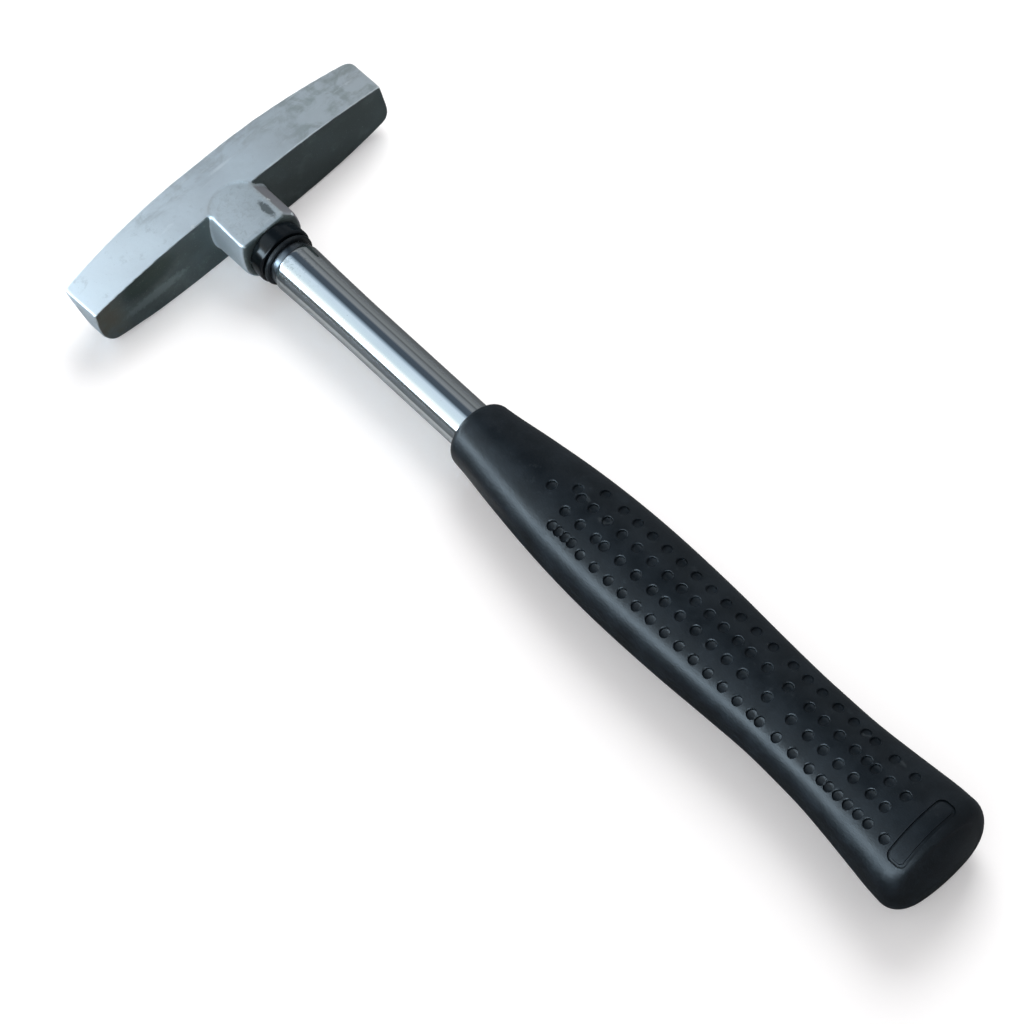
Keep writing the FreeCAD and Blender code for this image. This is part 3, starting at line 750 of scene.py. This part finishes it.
def makeSteel():
    look, marks = steelLook, steelMarks
    made = Material("forgedSteel", Metallic=look["metallic"])
    geometry = "ShaderNodeNewGeometry"
    normalX, normalY, normalZ = made.parts(made.node(geometry, output=1))
    placeX, placeY = made.parts(made.place)[:2]
    cloud = made.noise(14.0, 5.0)
    blotch = made.noise(4.5, 6.0, 0.65)
    grain = made.noise(0.55, 3.0, 0.7)
    pits = made.noise(1.5, 5.0, 0.7, distortion=0.6)
    drag = made.noise(2.6, 4.0, 0.6, made.stretched(1.0, 0.22, 1.0))
    wavy = made.noise(8.0, 6.0, 0.62, distortion=1.2)
    upper = made.ease(normalZ, 0.5, 0.9)
    # ground cheeks: painted light towards the left face and painted shade towards the right one, smeared
    # along the back, stained towards the right one
    shade = made.mix(made.ease(cloud, 0.40, 0.75) * 0.35, look["light"], look["smear"])
    # painted light: the cheeks paler towards the left face
    shade = made.mix(made.over(placeY, *marks["paintedLightLeft"]) * 0.85, shade, look["pale"])
    alongBack = made.over(placeX, *marks["smearedBack"]) * made.over(placeY, *marks["smearedRight"])
    smeared = alongBack * made.ease(wavy + (drag - 0.5) * 0.9, 0.38, 0.74)
    shade = made.mix(smeared * 0.65, shade, look["smear"])
    # painted shade: the cheeks darkened towards the right face
    shade = made.mix(made.over(placeY, *marks["paintedShadeRight"]) * 0.45, shade, look["smear"])
    streaky = made.ease(wavy + (drag + blotch - 1.0) * 0.5, 0.40, 0.70)
    stained = made.over(placeY, *marks["stainedRight"]) * streaky * upper
    shade = made.mix(stained * 0.8, shade, look["stain"])
    shade = made.mix(made.ease(drag, 0.60, 0.72) * 0.45, shade, look["pale"])
    shade = made.mix(made.ease(blotch, 0.58, 0.72) * 0.35, shade, look["smear"])
    streak = made.ease(made.ellipse(*marks["streak"]), 1.0, 0.2)
    shade = made.mix(streak * 0.6, shade, look["pale"])
    # the flat by the boss: rougher, duller to the right, with a deep pit whose inside is painted shade
    spot = made.ease(made.ellipse(*marks["flat"]), 1.03, 0.97)
    spot = upper * (1 - (1 - spot) * made.over(placeX, *marks["flatFront"]))
    dull = 0.12 + made.over(placeY, *marks["flatDuller"]) * 0.25 + made.ease(pits, 0.46, 0.70) * 0.30
    shade = made.mix(spot * dull, shade, look["stain"])
    # painted shade: a dark oval for the inside of a deep pit that is not modelled
    pitShade = made.ease(made.ellipse(*marks["pitShade"]) + (pits - 0.5) * 1.8, 1.25, 0.6)
    shade = made.mix(pitShade * spot * 0.85, shade, look["pitShade"])
    # handle side: dark scale, partly painted shade of the side turned from the light, with a scraped patch
    # and a painted shadow over it on the left
    rubbed = made.ease(made.noise(8.0, 5.0, 0.6), 0.50, 0.75)
    scale = made.mix(rubbed * 0.35, look["scaleAndShade"], look["oxidePale"])
    # painted shadow: a dim stretch over the scale on the left
    paintedShadow = made.ease(made.ellipse(*marks["shadowOnSide"]), 1.15, 0.55)
    scale = made.mix(paintedShadow * 0.9, scale, look["shadowedScale"])
    scraped = made.ease(made.ellipse(*marks["scraped"]) + (pits - 0.5) * 1.6, 1.15, 0.55)
    scale = made.mix(scraped * 0.75, scale, look["oxidePale"])
    scale = made.mix(made.over(placeY, *marks["paleScale"]) * 0.5, scale, look["oxidePale"])
    browned = made.ease(cloud + (blotch - 0.5) * 0.4, 0.30, 0.60) * made.over(placeY, *marks["brownScale"])
    scale = made.mix(browned * 0.85, scale, look["brown"])
    # the handle side takes the scale's colour, forge scale and painted shade together
    shade = made.mix(made.ease(normalX + (cloud - 0.5) * 0.2, 0.55, 0.8), shade, scale)
    # right flank of the boss, painted shade on the side turned from the light
    right = made.ease(normalY, 0.35, 0.8) * made.over(placeX, *marks["shadedFlank"])
    # painted shade on the boss's right flank
    shade = made.mix(right * 0.8, shade, look["flank"])
    # bright worn edges
    pointed = made.node(geometry, output=7)
    worn = made.ease(pointed + (blotch - 0.5) * 0.03, 0.515, 0.55)
    rightEdge = made.ease(normalX, 0.25, 0.45) * made.ease(normalZ, 0.35, 0.55)
    rightEdge = rightEdge * made.over(placeY, *marks["brightEdge"])
    shade = made.mix(rightEdge * made.ease(blotch, 0.30, 0.50) * 0.9, shade, look["worn"])
    shade = made.mix(worn, shade, look["worn"])
    shade = made.mix(made.ease(grain, 0.60, 0.75) * 0.3, shade, look["smear"])
    height = grain * 0.6 + made.noise(0.22, 2.0) * 0.4 + drag * 0.4 + spot * pits * 2.5
    roughness = made.ease(cloud, 0.3, 0.7, *look["roughness"]) - worn * look["wornShine"]
    made.feed(Base_Color=shade, Roughness=roughness, Normal=made.bump(height, look["relief"]))
    return made


chromeLook = {
    "bright": (0.66, 0.69, 0.70), "hazy": (0.60, 0.63, 0.65), "speck": (0.35, 0.37, 0.38),
    "dirt": (0.26, 0.29, 0.30), "dirty": (-98, -115),        # behind the swell, in millimetres along X
    # the neck's colour is a painted dark reflection
    "neck": (0.16, 0.18, 0.20), "neckStart": (-117.3, -117.8),
    "roughness": (0.07, 0.12), "relief": 0.006,
}


def makeChrome():
    look = chromeLook
    made = Material("polishedChrome", Metallic=1.0)
    haze = made.noise(11.0, 4.0, 0.5, made.stretched(0.3, 1.0, 1.0))
    lines = made.noise(0.9, 4.0, 0.6, made.stretched(0.03, 1.0, 1.0))
    specks = made.ease(made.noise(1.1, 3.0, 0.6), 0.70, 0.76)
    shade = made.mix(made.ease(haze, 0.45, 0.7), look["bright"], look["hazy"])
    shade = made.mix(specks * 0.5, shade, look["speck"])
    # dirt behind the swell, and before it the neck, rougher and painted dark as a reflection of dark
    # surroundings
    placeX = made.parts(made.place)[0]
    dirt = made.ease(made.noise(1.1, 5.0, 0.7), 0.52, 0.66) * made.over(placeX, *look["dirty"])
    shade = made.mix(dirt * 0.4, shade, look["dirt"])
    # painted reflection: the neck before the swell dimmed as the dark surroundings it mirrors
    neck = made.over(placeX, *look["neckStart"])
    shade = made.mix(neck, shade, look["neck"])
    roughness = made.ease(haze, 0.35, 0.7, *look["roughness"]) + specks * 0.15 + dirt * 0.12 + neck * 0.2
    made.feed(Base_Color=shade, Roughness=roughness, Normal=made.bump(lines + haze * 1.5, look["relief"]))
    return made


plasticLook = {
    "black": (0.003, 0.005, 0.007), "scuff": (0.020, 0.024, 0.027), "gloss": 0.28,
    "roughness": (0.12, 0.20), "relief": 0.02,
}


def makePlastic():
    look = plasticLook
    made = Material("blackPlastic", Specular_IOR_Level=look["gloss"])
    cloud = made.noise(3.0, 4.0)
    scuffs = made.ease(made.noise(0.8, 4.0, 0.6, made.stretched(1.0, 0.3, 0.3)), 0.6, 0.72)
    shade = made.mix(scuffs * 0.5, look["black"], look["scuff"])
    roughness = made.ease(cloud, 0.3, 0.7, *look["roughness"]) + scuffs * 0.2
    made.feed(Base_Color=shade, Roughness=roughness, Normal=made.bump(cloud, look["relief"]))
    return made


sealLook = {
    "dark": (0.004, 0.006, 0.008), "light": (0.012, 0.015, 0.017), "gloss": 0.3,
    "roughness": (0.35, 0.5), "relief": 0.02,
}


def makeSealRubber():
    look = sealLook
    made = Material("sealRubber", Specular_IOR_Level=look["gloss"])
    cloud = made.noise(1.6, 4.0)
    shade = made.mix(made.ease(cloud, 0.35, 0.7), look["dark"], look["light"])
    roughness = made.ease(cloud, 0.3, 0.7, *look["roughness"])
    made.feed(Base_Color=shade, Roughness=roughness, Normal=made.bump(cloud, look["relief"]))
    return made


gripLook = {
    "dark": (0.002, 0.0045, 0.007), "light": (0.006, 0.010, 0.014), "mark": (0.022, 0.030, 0.036),
    "edge": (0.04, 0.05, 0.057), "gloss": 0.36, "roughness": (0.34, 0.42), "relief": 0.06,
}


def makeGripRubber():
    look = gripLook
    made = Material("gripRubber", Specular_IOR_Level=look["gloss"])
    cloud = made.noise(9.0, 5.0, 0.6)
    skin = made.noise(1.4, 4.0, 0.6)
    grain = made.noise(0.45, 3.0, 0.6)
    marks = made.ease(made.noise(2.6, 5.0, 0.7), 0.60, 0.70)
    pointed = made.node("ShaderNodeNewGeometry", output=7)
    shade = made.mix(made.ease(cloud, 0.35, 0.7), look["dark"], look["light"])
    shade = made.mix(marks * 0.35, shade, look["mark"])
    shade = made.mix(made.ease(pointed, 0.53, 0.60) * 0.35, shade, look["edge"])
    roughness = made.ease(cloud, 0.3, 0.7, *look["roughness"]) + marks * 0.08
    height = skin * 0.9 + grain * 0.6
    made.feed(Base_Color=shade, Roughness=roughness, Normal=made.bump(height, look["relief"]))
    return made


plugLook = {
    "light": (0.50, 0.50, 0.49), "dark": (0.36, 0.36, 0.36), "metallic": 0.9,
    "roughness": (0.32, 0.45), "relief": 0.02,
}


def makePlugSteel():
    look = plugLook
    made = Material("turnedSteel", Metallic=look["metallic"])
    lines = made.noise(0.5, 3.0, 0.6, made.stretched(1.0, 0.08, 0.08))
    shade = made.mix(made.ease(made.noise(3.0), 0.4, 0.7), look["light"], look["dark"])
    roughness = made.ease(lines, 0.3, 0.7, *look["roughness"])
    made.feed(Base_Color=shade, Roughness=roughness, Normal=made.bump(lines, look["relief"]))
    return made


# White paper, lifted to the backdrop's white for the camera; for reflections only it is painted greyer near
# the bright tube and dark beyond, a painted reflection of dark surroundings
paperLook = {
    "white": (0.80, 0.80, 0.80), "warm": (0.82, 0.815, 0.815), "lift": (0.24, 0.236, 0.236),
    "reflectedDark": (0.11, 0.115, 0.12), "grey": (0.50, 0.51, 0.51), "roughness": 0.9,
    "greyLeft": (-34, -29), "greyRight": (17, 11), "greyEnd": (-10, -30), "size": 4.0,
}


def makeFloorPaper():
    look = paperLook
    made = Material("floorPaper", Roughness=look["roughness"])
    path = "ShaderNodeLightPath"
    placeX, placeY = made.parts(made.place)[:2]
    # painted reflection: the floor as reflections find it, grey near the tube and dark beyond
    near = made.over(placeY, *look["greyLeft"]) * made.over(placeY, *look["greyRight"])
    near = near * made.over(placeX, *look["greyEnd"])
    paintedReflection = made.mix(near, look["reflectedDark"], look["grey"])
    paper = made.mix(made.noise(240.0, 3.0), look["white"], look["warm"])
    made.feed(Base_Color=made.mix(made.node(path, output=3), paper, paintedReflection),
              Emission_Color=made.mix(made.node(path, output=0), (0.0, 0.0, 0.0), look["lift"]),
              Emission_Strength=1.0)
    return made


print("modelling the pieces")
forged = makeHead()
brightTube = makeTube()
collar = makeBush()
seal = makeRing()
handle = makeGrip()

print("finishing them")
steel, plastic = makeSteel(), makePlastic()
finishes = (
    (forged, steel), (brightTube, makeChrome()), (collar, plastic), (seal, makeSealRubber()),
    (handle, makeGripRubber()), (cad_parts["eye_plug"], makePlugSteel()),
    (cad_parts["tube_end_plug"], plastic),
)
for piece, made in finishes:
    assign(piece, made)

print("laying the floor, and setting up the camera and the light")
bpy.ops.object.select_all(action="DESELECT")
bpy.ops.mesh.primitive_plane_add(size=paperLook["size"], location=(0, 0, 0))
floor = bpy.context.object
floor.name = "floor"
assign(floor, makeFloorPaper())

camera = {
    "place": (0.561192, -0.270855, 1.031111),
    "right": (0.644461, 0.74573, -0.168988),
    "up": (-0.598973, 0.629725, 0.494649),
    "lens": 148.467, "sensor": 36.0, "reach": 20.0,
}
lens = bpy.data.cameras.new("camera")
lens.lens = camera["lens"]
lens.sensor_width = camera["sensor"]
lens.clip_end = camera["reach"]
view = bpy.data.objects.new("camera", lens)
bpy.context.scene.collection.objects.link(view)
right, up = Vector(camera["right"]), Vector(camera["up"])
back = right.cross(up)
view.matrix_world = Matrix.Translation(camera["place"]) @ Matrix((right, up, back)).transposed().to_4x4()
bpy.context.scene.camera = view

# One window lamp on the far side; reflections don't find it, because the room has its own window strip
window = {"place": (-0.5, 0.75, 1.0), "size": (0.8, 0.8), "power": 14.0}
lamp = bpy.data.lights.new("window", "AREA")
lamp.shape = "RECTANGLE"
lamp.size, lamp.size_y = window["size"]
lamp.energy = window["power"]
holder = bpy.data.objects.new("window", lamp)
holder.location = window["place"]
holder.rotation_euler = (-Vector(window["place"])).to_track_quat("-Z", "Y").to_euler()
bpy.context.scene.collection.objects.link(holder)
holder.visible_glossy = False

# The room: an even pale light, and for reflections a ceiling with a bright window strip on the near side,
# a pale blue one over the hammer and a dark wall beyond, by the angle from overhead about the handle
roomBands = (
    (-180, (0.50, 0.54, 0.52)), (-112, (0.34, 0.36, 0.36)), (-104, (0.16, 0.17, 0.18)),
    (-92, (0.25, 0.27, 0.28)), (-80, (0.08, 0.09, 0.10)), (-75, (1.25, 1.35, 1.38)),
    (-71, (8.4, 10.6, 12.4)), (-58, (8.4, 10.6, 12.4)), (-54, (1.5, 1.6, 1.65)),
    (-45, (1.30, 1.40, 1.42)), (-38, (0.95, 1.12, 1.22)), (-9, (0.85, 1.00, 1.15)),
    (2, (0.35, 0.45, 0.55)), (9, (0.075, 0.10, 0.13)), (31, (0.09, 0.115, 0.15)),
    (40, (0.32, 0.34, 0.36)), (54, (0.26, 0.28, 0.30)), (62, (0.12, 0.13, 0.14)),
    (70, (0.28, 0.30, 0.31)), (90, (0.20, 0.21, 0.22)), (180, (0.24, 0.25, 0.26)),
)
brightest = max(part for degrees, shade in roomBands for part in shade)
roomLook = {"even": (1.0, 0.98, 0.985), "evenStrength": 0.62, "backdrop": (1.0, 1.0, 1.0)}
world = bpy.data.worlds.new("room")
bpy.context.scene.world = world
world.use_nodes = True
room = Tree(world.node_tree)
direction = room.node("ShaderNodeTexCoord", output=0)
across = room.node("ShaderNodeSeparateXYZ", None, [direction], output=1)
above = room.node("ShaderNodeSeparateXYZ", None, [direction], output=2)
turn = across.math("ARCTAN2", across, above) / (2 * math.pi) + 0.5
stops = [((degrees + 180) / 360, tuple(part / brightest for part in shade)) for degrees, shade in roomBands]
background = "ShaderNodeBackground"
glossyRoom = room.node(background, None, {"Color": room.ramp(turn, *stops), "Strength": brightest})
evenRoom = room.node(background, None, {"Color": roomLook["even"], "Strength": roomLook["evenStrength"]})
whiteRoom = room.node(background, None, {"Color": roomLook["backdrop"], "Strength": 1.0})
glossy = room.node("ShaderNodeLightPath", output=3)
seen = room.node("ShaderNodeLightPath", output=0)
lit = room.node("ShaderNodeMixShader", None, [glossy, evenRoom, glossyRoom])
shown = room.node("ShaderNodeMixShader", None, [seen, lit, whiteRoom])
room.plug(room.nodes["World Output"].inputs["Surface"], shown)
bpy.context.scene.view_settings.view_transform = "Standard"

print("scene ready")
